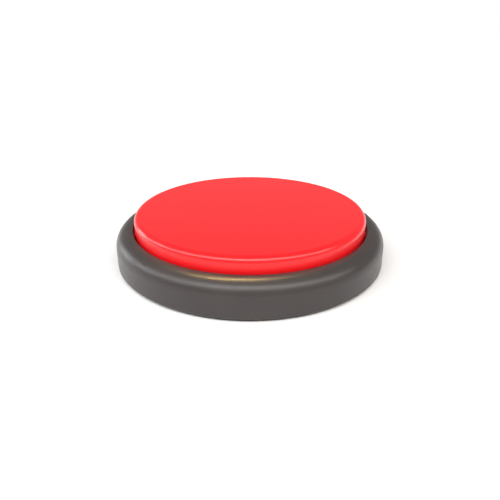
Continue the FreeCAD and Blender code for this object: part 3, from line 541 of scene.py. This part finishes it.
class Paint:
    """A material under construction: one shader, with patterns in object coordinates."""

    def __init__(self, name, base, roughness, metallic=0.0, specular=0.5):
        self.material = bpy.data.materials.new(name)
        self.material.use_nodes = True
        self.tree = self.material.node_tree
        self.shader = self.tree.nodes["Principled BSDF"]
        self.base = base
        self.shader.inputs["Base Color"].default_value = (*base, 1.0)
        self.shader.inputs["Roughness"].default_value = roughness
        self.shader.inputs["Metallic"].default_value = metallic
        self.shader.inputs["Specular IOR Level"].default_value = specular
        self.roughness = roughness
        self.place = self.tree.nodes.new("ShaderNodeTexCoord").outputs["Object"]
        self.normal = None

    def node(self, kind, fed, **settings):
        return add_node(self.tree, kind, fed, **settings)

    def shade(self, label, source):
        """Links a pattern to one of the shader's inputs."""
        self.tree.links.new(source, self.shader.inputs[label])

    def mapped(self, scale=(1, 1, 1), move=(0, 0, 0)):
        """Object coordinates stretched or moved for one pattern."""
        return self.node("ShaderNodeMapping", {
            "Scale": scale, "Location": move, "Vector": self.place,
        }).outputs["Vector"]

    def noise(self, scale, detail=3.0, vector=None):
        return self.node("ShaderNodeTexNoise", {
            "Scale": scale, "Detail": detail, "Vector": vector or self.place,
        }).outputs["Fac"]

    def cells(self, scale):
        return self.node("ShaderNodeTexVoronoi", {
            "Scale": scale, "Vector": self.place,
        }).outputs["Distance"]

    def rings(self, scale, vector):
        """Rings about the upright axis of the coordinates."""
        return self.node("ShaderNodeTexWave", {
            "Scale": scale, "Vector": vector,
        }, wave_type="RINGS", rings_direction="Z").outputs["Fac"]

    def spread(self, value, low, high, source=NOISE_MIDDLE):
        """Maps a pattern's source range onto another."""
        return self.node("ShaderNodeMapRange", {
            "Value": value, "From Min": source[0], "From Max": source[1],
            "To Min": low, "To Max": high,
        }).outputs["Result"]

    def ramp(self, value, stops, stepped=False):
        """Colours along a pattern, from (place, colour) stops."""
        node = self.node("ShaderNodeValToRGB", {"Fac": value})
        node.color_ramp.interpolation = "CONSTANT" if stepped else "LINEAR"
        elements = node.color_ramp.elements
        while len(elements) < len(stops):
            elements.new(0.5)
        for element, (position, rgb) in zip(elements, stops):
            element.position = position
            element.color = (*rgb, 1.0)
        return node.outputs["Color"]

    def mottle(self, pattern, amount):
        """Varies the base colour a little, darker and lighter."""
        darker = [c * (1 - amount) for c in self.base]
        lighter = [min(1.0, c * (1 + amount)) for c in self.base]
        low, high = NOISE_MIDDLE
        self.shade("Base Color", self.ramp(pattern, [(low, darker), (high, lighter)]))

    def sheen_spread(self, pattern, amount):
        """Varies the roughness either side of its middle value."""
        low, high = self.roughness - amount, self.roughness + amount
        self.shade("Roughness", self.spread(pattern, low, high))

    def bump(self, pattern, depth):
        """Adds relief of a real depth in metres on top of any that is there."""
        fed = {"Distance": depth, "Strength": 1.0, "Height": pattern}
        if self.normal:
            fed["Normal"] = self.normal
        self.normal = self.node("ShaderNodeBump", fed).outputs["Normal"]
        self.shade("Normal", self.normal)


def spark_grained_plastic(name, base):
    """Housing plastic from a spark-eroded mould: fine grain, soft sheen, faint flow mottling."""
    paint = Paint(name, base, roughness=0.34, specular=0.4)
    paint.mottle(paint.noise(scale=70.0, detail=4.0), amount=0.05)
    paint.sheen_spread(paint.noise(scale=420.0, detail=2.0), amount=0.04)
    paint.bump(paint.noise(scale=1500.0, detail=1.0), depth=0.0006 * MM)
    paint.bump(paint.noise(scale=160.0, detail=1.0), depth=0.004 * MM)
    return paint.material


def polished_plastic(name, base):
    """Button plastic from a polished mould: faint orange peel and a little uneven wear in the gloss."""
    paint = Paint(name, base, roughness=0.24)
    paint.mottle(paint.noise(scale=45.0, detail=3.0), amount=0.012)
    paint.sheen_spread(paint.noise(scale=60.0, detail=3.0), amount=0.02)
    paint.bump(paint.noise(scale=240.0, detail=1.0), depth=0.003 * MM)
    return paint.material


def plain_moulding(name, base, roughness, grain=0.006):
    """Small moulded part."""
    paint = Paint(name, base, roughness)
    paint.mottle(paint.noise(scale=300.0), amount=0.06)
    paint.sheen_spread(paint.noise(scale=900.0, detail=2.0), amount=0.05)
    paint.bump(paint.noise(scale=1800.0, detail=2.0), depth=grain * MM)
    return paint.material


def moulded_rubber(name, base):
    """Anti-slip foot: matt, with a fine pebbled face."""
    paint = Paint(name, base, roughness=0.78)
    paint.mottle(paint.noise(scale=500.0, detail=4.0), amount=0.18)
    paint.sheen_spread(paint.noise(scale=260.0), amount=0.08)
    paint.bump(paint.cells(scale=1600.0), depth=0.04 * MM)
    return paint.material


def metal(name, base, roughness, brushed_along=(1.0, 1.0, 14.0), grain=0.002):
    """Plated or drawn metal with fine drawing lines."""
    paint = Paint(name, base, roughness, metallic=1.0)
    lines = paint.noise(scale=700.0, detail=3.0, vector=paint.mapped(scale=brushed_along))
    paint.mottle(paint.noise(scale=220.0, detail=4.0), amount=0.07)
    paint.sheen_spread(lines, amount=0.08)
    paint.bump(lines, depth=grain * MM)
    return paint.material


def solder_mask():
    """Green board with copper tracks showing as low ridges under the mask."""
    between_tracks, on_track = (0.009, 0.09, 0.034), (0.02, 0.18, 0.07)
    paint = Paint("solder_mask", between_tracks, roughness=0.3)
    tracks = paint.node("ShaderNodeTexBrick", {
        "Scale": 190.0, "Mortar Size": 0.035, "Mortar Smooth": 0.1, "Vector": paint.place,
    }, offset=0.5).outputs["Fac"]
    paint.shade("Base Color", paint.ramp(tracks, [(0.0, between_tracks), (1.0, on_track)]))
    paint.sheen_spread(paint.noise(scale=500.0), amount=0.06)
    paint.bump(tracks, depth=0.03 * MM)
    return paint.material


def cell_sleeve(name, film, low_x, high_x, raised_end):
    """Coloured film on an AAA cell with bare metal ends; raised_end is +1 or -1 along X."""
    paint = Paint(name, film, roughness=0.32)
    split = paint.node("ShaderNodeSeparateXYZ", {0: paint.place})
    ends = (low_x, high_x) if raised_end > 0 else (high_x, low_x)
    along = paint.spread(split.outputs["X"], 0.0, 1.0, source=ends)
    film_start, band_start, top_start, film_end = 0.022, 0.72, 0.735, 0.955
    steel, band, top = (0.6, 0.6, 0.58), (0.72, 0.7, 0.64), (0.5, 0.05, 0.04)
    stops = [(0.0, steel), (film_start, film), (band_start, band), (top_start, top), (film_end, steel)]
    paint.shade("Base Color", paint.ramp(along, stops, stepped=True))
    black, white = (0.0, 0.0, 0.0), (1.0, 1.0, 1.0)
    bare = [(0.0, white), (film_start, black), (film_end, white)]
    paint.shade("Metallic", paint.ramp(along, bare, stepped=True))
    paint.sheen_spread(paint.noise(scale=400.0), amount=0.05)
    paint.bump(paint.noise(scale=900.0), depth=0.003 * MM)
    return paint.material


def sounder_film():
    """Thin film cone, ribbed in fine rings round the sounder's axis."""
    paint = Paint("sounder_film", (0.09, 0.09, 0.095), roughness=0.35)
    centre = (SOUNDER_LOW + SOUNDER_HIGH) / 2
    rings = paint.rings(scale=420.0, vector=paint.mapped(move=(-centre.x, -centre.y, 0.0)))
    paint.mottle(rings, amount=0.15)
    paint.sheen_spread(paint.noise(scale=300.0), amount=0.07)
    paint.bump(rings, depth=0.05 * MM)
    return paint.material


def open_foam():
    """Gasket foam with open pores."""
    paint = Paint("gasket_foam", (0.035, 0.035, 0.036), roughness=0.92)
    pores = paint.cells(scale=1500.0)
    paint.mottle(pores, amount=0.4)
    paint.bump(pores, depth=0.12 * MM)
    return paint.material


def phenolic_sheet():
    """Brown paper laminate of the sounder's terminal board."""
    paint = Paint("paper_laminate", (0.33, 0.19, 0.075), roughness=0.5)
    fibres = paint.noise(scale=600.0, detail=5.0, vector=paint.mapped(scale=(1.0, 5.0, 1.0)))
    paint.mottle(fibres, amount=0.2)
    paint.sheen_spread(fibres, amount=0.08)
    paint.bump(fibres, depth=0.006 * MM)
    return paint.material


def insulation(name, base):
    """Wire insulation."""
    paint = Paint(name, base, roughness=0.4)
    paint.mottle(paint.noise(scale=200.0, detail=4.0), amount=0.08)
    paint.sheen_spread(paint.noise(scale=700.0), amount=0.06)
    paint.bump(paint.noise(scale=1200.0), depth=0.004 * MM)
    return paint.material


def paint_over(obj, material):
    """Gives an object one material in place of any that it has."""
    obj.data.materials.clear()
    obj.data.materials.append(material)


def add_piece(obj, body, slot, *replaced):
    """Puts a finished piece under its body's empty and hides the imported parts that it replaces."""
    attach(obj, body)
    if replaced:
        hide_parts(*replaced)


# ---- Operators ----
SENSOR_WIDTH = 36.0
CAMERA_REACH = (0.01, 100.0)    # nearest and farthest, in metres


class BUZZER_OT_base_ring(bpy.types.Operator):
    """Make the base ring with its rounded shoulder, cover rebate and screw bosses"""
    bl_idname = "buzzer.base_ring"
    bl_label = "Base ring"

    def execute(self, context):
        s = context.scene.buzzer_base
        outer = RING_HIGH.x
        low, high = RING_LOW.z, RING_HIGH.z
        opening = outer - s.rim + s.gap
        inner, under = outer - s.wall, high - s.wall
        plastic = spark_grained_plastic("base_plastic", s.plastic)
        ring = turned("base_ring", [
            (outer, low, s.lower_edge),
            (outer, high, s.shoulder),
            (opening, high, s.lip),
            (opening, under, MOULDED_EDGE),
            (inner, under, s.shoulder - s.wall),
            (inner, s.cover_top, 0.0),
            (outer - s.rebate, s.cover_top, 0.0),
            (outer - s.rebate, low, CRISP_EDGE),
        ], closed=True, segments=s.segments, material=plastic)
        add_piece(ring, "base", "dark_grey_plastic", "upper_housing")

        top = s.cover_top + s.boss_height
        boss = turned("screw_bosses", [
            (s.boss_radius, s.cover_top, 0.0),
            (s.boss_radius, top, 0.0),
            (s.boss_bore, top, 0.0),
            (s.boss_bore, s.cover_top, CRISP_EDGE),
        ], closed=True, segments=SMALL_ROUND, material=plastic)
        boss.data.transform(Matrix.Translation((outer - s.boss_inset, 0.0, 0.0)))
        repeated_round(boss, s.boss_count, math.pi / s.boss_count, plastic)
        add_piece(boss, "base", "dark_grey_plastic")
        return {"FINISHED"}


class BUZZER_OT_button(bpy.types.Operator):
    """Make the red button with its lugs, ribs, guide posts and switch pad"""
    bl_idname = "buzzer.button"
    bl_label = "Button"

    def execute(self, context):
        s = context.scene.buzzer_button
        radius = CAP_HIGH.x - s.lug_reach
        top = CAP_HIGH.z
        ceiling = top - s.roof
        inner = radius - s.wall
        roof_middle = ceiling + s.roof / 2
        rib_low = ceiling - s.rib_depth
        plastic = polished_plastic("button_plastic", s.plastic)
        shell = turned("button_shell", [
            (0.0, top, 0.0),
            (radius, top, s.edge),
            (radius, s.skirt_z, MOULDED_EDGE),
            (inner, s.skirt_z, CRISP_EDGE),
            (inner, ceiling, MOULDED_EDGE),
            (0.0, ceiling, 0.0),
        ], closed=False, segments=s.segments, material=plastic)
        add_piece(shell, "button", "red_plastic", "button_cap")

        lug_shape = sector(radius - s.wall / 2, radius + s.lug_reach, s.skirt_z,
                           s.skirt_z + s.lug_height, s.lug_half_angle, LUG_STEPS)
        lug = soft_edged("button_lugs", lug_shape, CRISP_EDGE)
        repeated_round(lug, s.lug_count, 0.0, plastic)
        add_piece(lug, "button", "red_plastic")

        rib_shape = block((s.rib_start, -s.rib_width / 2, rib_low),
                          (inner + s.wall / 2, s.rib_width / 2, roof_middle))
        rib = soft_edged("button_ribs", rib_shape, CRISP_EDGE)
        repeated_round(rib, s.rib_count, 0.0, plastic)
        add_piece(rib, "button", "red_plastic")

        hoop = turned("button_hoop", [
            (s.rib_start, rib_low, CRISP_EDGE),
            (s.rib_start + s.rib_width, rib_low, CRISP_EDGE),
            (s.rib_start + s.rib_width, roof_middle, 0.0),
            (s.rib_start, roof_middle, 0.0),
        ], closed=True, segments=2 * SMALL_ROUND, material=plastic)
        add_piece(hoop, "button", "red_plastic")

        pad = turned("button_pad", [
            (0.0, PLUNGER_TOP + s.pad_gap, 0.0),
            (s.pad_radius, PLUNGER_TOP + s.pad_gap, MOULDED_EDGE),
            (s.pad_radius, roof_middle, 0.0),
            (0.0, roof_middle, 0.0),
        ], closed=False, segments=SMALL_ROUND, material=plastic)
        add_piece(pad, "button", "red_plastic")

        shoulder_low, shoulder_out = ceiling - s.post_shoulder, s.post_radius + s.post_step
        guides = turned("button_guides", [
            (0.0, CAP_LOW.z, 0.0),
            (s.post_radius, CAP_LOW.z, MOULDED_EDGE),
            (s.post_radius, shoulder_low, 0.0),
            (shoulder_out, shoulder_low, 0.0),
            (shoulder_out, roof_middle, 0.0),
            (0.0, roof_middle, 0.0),
        ], closed=False, segments=SMALL_ROUND, material=plastic)
        repeated_at_guides(guides, plastic)
        add_piece(guides, "button", "red_plastic")
        return {"FINISHED"}


class BUZZER_OT_springs(bpy.types.Operator):
    """Make the four return springs and the switch's spring"""
    bl_idname = "buzzer.springs"
    bl_label = "Springs"

    def execute(self, context):
        s = context.scene.buzzer_springs
        steel = metal("spring_wire", s.steel, roughness=0.26)
        seat = min(low.z for low, high in SPRING_BOXES)
        height = max(high.z for low, high in SPRING_BOXES) - seat
        springs = coil("return_springs", seat, (s.radius, s.radius), height, s.turns, s.wire, steel)
        repeated_at_guides(springs, steel)
        add_piece(springs, "base", "spring_steel", *SPRING_NODES)
        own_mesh(springs)

        seat = SWITCH_SPRING_LOW.z
        height = SWITCH_SPRING_HIGH.z - seat
        spring = coil("switch_coil", seat, (s.switch_radius, s.switch_radius), height,
                      s.switch_turns, s.switch_wire, steel)
        add_piece(spring, "base", "spring_steel", "switch_spring")
        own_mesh(spring)
        return {"FINISHED"}


class BUZZER_OT_contacts(bpy.types.Operator):
    """Make the sprung battery contacts"""
    bl_idname = "buzzer.contacts"
    bl_label = "Battery contacts"

    def coil_beside(self, name, plate_face, y, z, s, nickel, towards):
        """A cone coil from a plate's face along X; towards is +1 or -1."""
        cell_face = FRONT_CELL_LOW.x if towards > 0 else REAR_CELL_HIGH.x
        cone = coil(name, 0.0, (s.wide, s.narrow), abs(cell_face - plate_face), s.turns, s.wire, nickel)
        turn = Matrix.Rotation(towards * QUARTER_TURN, 4, "Y")
        cone.data.transform(Matrix.Translation((plate_face, y, z)) @ turn)
        return cone

    def execute(self, context):
        s = context.scene.buzzer_contacts
        nickel = metal("contact_nickel", s.nickel, roughness=0.22, brushed_along=(1.0, 1.0, 10.0))
        front_y = (FRONT_CELL_LOW.y + FRONT_CELL_HIGH.y) / 2
        rear_y = (REAR_CELL_LOW.y + REAR_CELL_HIGH.y) / 2
        z = (FRONT_CELL_LOW.z + FRONT_CELL_HIGH.z) / 2
        plate_face = PLATE_BACK - s.thickness
        half_width, half_height = s.plate_width / 2, s.plate_height / 2

        plate = block((-PLATE_BACK, front_y - half_width, z - half_height),
                      (-plate_face, rear_y + half_width, z + half_height))
        bridge = soft_edged("bridge_plate", plate, PLATE_EDGE)
        paint_over(bridge, nickel)
        add_piece(bridge, "base", "nickel", "bridge_contact")
        cone = self.coil_beside("bridge_coil", -plate_face, front_y, z, s, nickel, towards=1)
        add_piece(cone, "base", "nickel")
        raised = plate_face + REAR_CELL_LOW.x
        dimple = turned("bridge_dimple", [
            (0.0, raised, 0.0),
            (s.dimple, raised, MOULDED_EDGE),
            (s.dimple, 0.0, 0.0),
            (0.0, 0.0, 0.0),
        ], closed=False, segments=SMALL_ROUND, material=nickel)
        turn = Matrix.Rotation(QUARTER_TURN, 4, "Y")
        dimple.data.transform(Matrix.Translation((-plate_face, rear_y, z)) @ turn)
        add_piece(dimple, "base", "nickel")

        tab_low = z + s.tab_rise
        plate = block((plate_face, rear_y - half_width, z - half_height),
                      (PLATE_BACK, rear_y + half_width, z + half_height))
        tab = block((plate_face, rear_y - s.tab_width / 2, tab_low),
                    (NEGATIVE_TAB_END, rear_y + s.tab_width / 2, tab_low + s.thickness))
        negative = soft_edged("negative_plate", together(plate, tab), PLATE_EDGE)
        paint_over(negative, nickel)
        add_piece(negative, "base", "nickel", "negative_contact")
        cone = self.coil_beside("negative_coil", plate_face, rear_y, z, s, nickel, towards=-1)
        add_piece(cone, "base", "nickel")
        return {"FINISHED"}


class BUZZER_OT_finishes(bpy.types.Operator):
    """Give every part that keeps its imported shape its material"""
    bl_idname = "buzzer.finishes"
    bl_label = "Finishes"

    def execute(self, context):
        s = context.scene.buzzer_finishes
        cover = spark_grained_plastic("cover_plastic", context.scene.buzzer_base.plastic)
        screw = metal("screw_plating", s.screws, roughness=0.3, brushed_along=(1.0, 1.0, 1.0),
                      grain=0.001)
        nickel = bpy.data.materials["contact_nickel"]
        finishes = {
            "bottom_cover": cover,
            "battery_door": cover,
            "switch_body": plain_moulding("switch_moulding", s.switch, roughness=0.42),
            "switch_plunger": plain_moulding("white_moulding", s.plunger, roughness=0.38),
            "switch_terminals": nickel,
            "positive_contact": nickel,
            "chip_legs": nickel,
            "circuit_board": solder_mask(),
            "sound_chip": plain_moulding("chip_epoxy", s.chip, roughness=0.6, grain=0.015),
            "resistors": plain_moulding("black_moulding", s.resistors, roughness=0.45),
            "capacitor": plain_moulding("capacitor_film", s.capacitor, roughness=0.3),
            "front_cell": cell_sleeve("front_cell_sleeve", s.cell_film,
                                      FRONT_CELL_LOW.x, FRONT_CELL_HIGH.x, raised_end=1),
            "rear_cell": cell_sleeve("rear_cell_sleeve", s.cell_film,
                                     REAR_CELL_LOW.x, REAR_CELL_HIGH.x, raised_end=-1),
            "sounder_gasket": open_foam(),
            "sounder_frame": metal("basket_steel", s.basket, roughness=0.36),
            "sounder_magnet": metal("magnet_can", s.magnet, roughness=0.34),
            "sounder_cone": sounder_film(),
            "terminal_strip": phenolic_sheet(),
            "housing_screws": screw,
            "board_screws": screw,
            "sounder_screws": screw,
        }
        rubber = moulded_rubber("rubber_foot", s.rubber)
        red_wire = insulation("red_insulation", s.red_wire)
        black_wire = insulation("black_insulation", s.black_wire)
        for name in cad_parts:
            if name.startswith("foot_"):
                finishes[name] = rubber
            if name.endswith("_wire_red"):
                finishes[name] = red_wire
            if name.endswith("_wire_black"):
                finishes[name] = black_wire
        for name, material in finishes.items():
            paint_over(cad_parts[name], material)
        return {"FINISHED"}


class BUZZER_OT_stage(bpy.types.Operator):
    """Lay the floor, set the lights and place the camera"""
    bl_idname = "buzzer.stage"
    bl_label = "Stage"

    def soft_box(self, name, azimuth, elevation, distance, size_x, size_y, radiance, tint):
        """A soft rectangular light; azimuth is from the front, positive to the right."""
        data = bpy.data.lights.new(name, "AREA")
        data.shape = "RECTANGLE"
        data.size, data.size_y = size_x, size_y
        data.energy = radiance * math.pi * size_x * size_y    # a flat lamp's power
        data.color = tint
        level = math.cos(elevation)
        toward = Vector((math.sin(azimuth) * level, -math.cos(azimuth) * level, math.sin(elevation)))
        lamp = bpy.data.objects.new(name, data)
        lamp.location = toward * distance
        lamp.rotation_euler = (-toward).to_track_quat("-Z", "Y").to_euler()
        bpy.context.scene.collection.objects.link(lamp)
        return lamp

    def light_arch(self, s):
        """Soft boxes along an arch over the front: cool at the left end, warm at the right."""
        for i in range(s.arch_count):
            along = i / (s.arch_count - 1)
            azimuth = s.arch_left + (s.arch_right - s.arch_left) * along
            elevation = s.arch_height * math.cos(s.arch_droop * azimuth)
            radiance = s.arch_radiance * (1.0 - s.arch_falloff * abs(along - 0.5) * 2)
            tint = [cool + (warm - cool) * along for cool, warm in zip(s.arch_cool, s.arch_warm)]
            self.soft_box(f"arch_{i}", azimuth, elevation, s.arch_distance, s.arch_box,
                          s.arch_box * s.arch_shape, radiance, tint)

    def white_room(self, s):
        """A room that is white behind the object and dimmer as a source of light."""
        world = bpy.data.worlds.new("studio")
        world.use_nodes = True
        tree = world.node_tree
        backdrop = tree.nodes["Background"]
        backdrop.inputs["Color"].default_value = (1.0, 1.0, 1.0, 1.0)
        ambient = add_node(tree, "ShaderNodeBackground", {"Color": (*s.ambient, 1.0)})
        mix = add_node(tree, "ShaderNodeMixShader", {
            "Fac": tree.nodes.new("ShaderNodeLightPath").outputs["Is Camera Ray"],
            1: ambient.outputs["Background"],
            2: backdrop.outputs["Background"],
        })
        tree.links.new(mix.outputs["Shader"], tree.nodes["World Output"].inputs["Surface"])
        bpy.context.scene.world = world

    def execute(self, context):
        s = context.scene.buzzer_stage
        paint = Paint("floor_sheet", s.floor, roughness=0.8)
        paint.mottle(paint.noise(scale=2.0), amount=0.01)
        outline = [(0.0, 0.0, 0.0), (s.floor_radius, 0.0, 0.0)]
        floor = turned("floor", outline, closed=False, segments=FLOOR_ROUND, material=paint.material)
        self.white_room(s)
        self.light_arch(s)
        strip = self.soft_box("warm_strip", s.strip_azimuth, s.strip_elevation, s.strip_distance,
                              s.strip_length, s.strip_width, s.strip_radiance, s.strip_tint)
        strip.visible_diffuse = False
        lit_by_strip = bpy.data.collections.new("lit_by_warm_strip")
        lit_by_strip.objects.link(bpy.data.objects["base_ring"])
        strip.light_linking.receiver_collection = lit_by_strip

        camera_data = bpy.data.cameras.new("camera")
        camera_data.sensor_width = SENSOR_WIDTH
        camera_data.lens = s.lens
        camera_data.clip_start, camera_data.clip_end = CAMERA_REACH
        camera = bpy.data.objects.new("camera", camera_data)
        away = Vector((0.0, -math.cos(s.elevation), math.sin(s.elevation)))
        camera.location = Vector((0.0, 0.0, s.aim_height)) + away * s.distance
        camera.rotation_euler = (QUARTER_TURN - s.elevation, 0.0, 0.0)
        context.scene.collection.objects.link(camera)
        context.scene.camera = camera
        context.scene.view_settings.view_transform = "Standard"
        return {"FINISHED"}


class BUZZER_PT_panel(bpy.types.Panel):
    """Buttons for each group of pieces, with their sizes and colours"""
    bl_idname = "BUZZER_PT_panel"
    bl_label = "Quiz buzzer"
    bl_space_type = "VIEW_3D"
    bl_region_type = "UI"
    bl_category = "Buzzer"

    def draw(self, context):
        for operator in OPERATORS:
            self.layout.operator(operator.bl_idname)
        for holder, group in SETTINGS.items():
            column = self.layout.column(align=True)
            for name in group.__annotations__:
                column.prop(getattr(context.scene, holder), name)


OPERATORS = (BUZZER_OT_base_ring, BUZZER_OT_button, BUZZER_OT_springs, BUZZER_OT_contacts,
             BUZZER_OT_finishes, BUZZER_OT_stage)
CLASSES = (*SETTINGS.values(), *OPERATORS, BUZZER_PT_panel)


def register():
    for cls in CLASSES:
        bpy.utils.register_class(cls)
    for holder, group in SETTINGS.items():
        setattr(bpy.types.Scene, holder, bpy.props.PointerProperty(type=group))


def unregister():
    for holder in SETTINGS:
        delattr(bpy.types.Scene, holder)
    for cls in reversed(CLASSES):
        bpy.utils.unregister_class(cls)


def main():
    register()
    bpy.ops.buzzer.base_ring()
    bpy.ops.buzzer.button()
    bpy.ops.buzzer.springs()
    bpy.ops.buzzer.contacts()
    bpy.ops.buzzer.finishes()
    bpy.ops.buzzer.stage()


if __name__ == "__main__":
    main()
